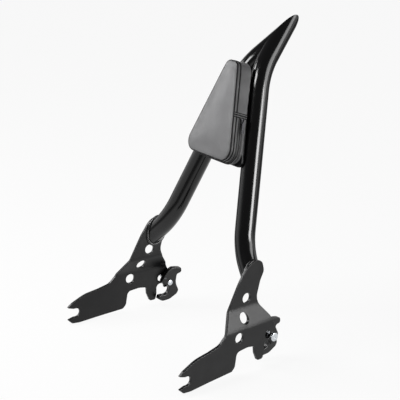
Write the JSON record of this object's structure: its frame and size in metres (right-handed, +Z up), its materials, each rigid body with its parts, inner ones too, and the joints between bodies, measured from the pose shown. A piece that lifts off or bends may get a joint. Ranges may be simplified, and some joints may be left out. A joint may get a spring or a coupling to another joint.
{
  "type": "motorcycle sissy bar",
  "caption": "Detachable motorcycle sissy bar: two bent tubes meet in a spear point above a small zipped triangular backrest pad, on joggled side plates with latched docking notches",
  "frame": {"origin": "midway between the seats of the two front docking slots", "axes": "+Z up, +X towards the rider's left, +Y towards the rear of the motorcycle; the front slots open towards -Y"},
  "size_m": [0.3196, 0.3422, 0.4952],
  "materials": {
    "powder_coat_plate": "gloss black powder coat, with a fine waviness",
    "powder_coat_tube": "gloss black powder coat on round tube",
    "powder_coat_weld": "gloss black powder coat over a weld bead",
    "lever_black": "satin black coated steel",
    "zinc_plate": "bright zinc plate",
    "spring_steel": "drawn spring wire",
    "pin_steel": "ground steel",
    "plywood": "plain plywood, hidden",
    "pad_foam": "open-cell foam, hidden",
    "black_leather": "black fine-grain leather with a soft sheen",
    "zip_tape": "black woven tape",
    "zip_coil": "black nylon coil",
    "zip_metal": "gunmetal painted zip hardware",
    "screw_black": "black oxide screw"
  },
  "bodies": {
    "bar": {"left_side_plate": "powder_coat_plate", "right_side_plate": "powder_coat_plate", "left_upright": "powder_coat_tube", "right_upright": "powder_coat_tube", "left_foot_weld": "powder_coat_weld", "right_foot_weld": "powder_coat_weld", "pad_plate": "powder_coat_plate", "pad_plate_welds": "powder_coat_weld", "left_latch_pivot": "zinc_plate", "right_latch_pivot": "zinc_plate", "left_latch_spacer": "zinc_plate", "right_latch_spacer": "zinc_plate", "left_latch_spring": "spring_steel", "right_latch_spring": "spring_steel", "pad_board": "plywood", "pad_foam": "pad_foam", "pad_cover": "black_leather", "pad_piping": "black_leather", "pad_zip_tape": "zip_tape", "pad_zip_teeth": "zip_coil", "pad_zip_slider": "zip_metal", "pad_zip_pull": "zip_metal", "pad_tee_nuts": "zinc_plate", "pad_screws": "screw_black", "pad_screw_washers": "screw_black"},
    "left_latch": {"left_latch_lever": "lever_black", "left_stop_pin": "pin_steel"},
    "right_latch": {"right_latch_lever": "lever_black", "right_stop_pin": "pin_steel"}
  },
  "joints": [
    {"name": "left_latch_hinge", "type": "hinge", "parent": "bar", "child": "left_latch", "pos_m": [0.14042, 0.16997, 0.0215], "axis": [0.9969, 0.0785, 0], "range_deg": [0, 35], "stiffness_Nm_per_rad": 0.25, "springref_deg": -34.38},
    {"name": "right_latch_hinge", "type": "hinge", "parent": "bar", "child": "right_latch", "pos_m": [-0.14042, 0.16997, 0.0215], "axis": [0.9969, -0.0785, 0], "range_deg": [0, 35], "stiffness_Nm_per_rad": 0.25, "springref_deg": -34.38}
  ]
}
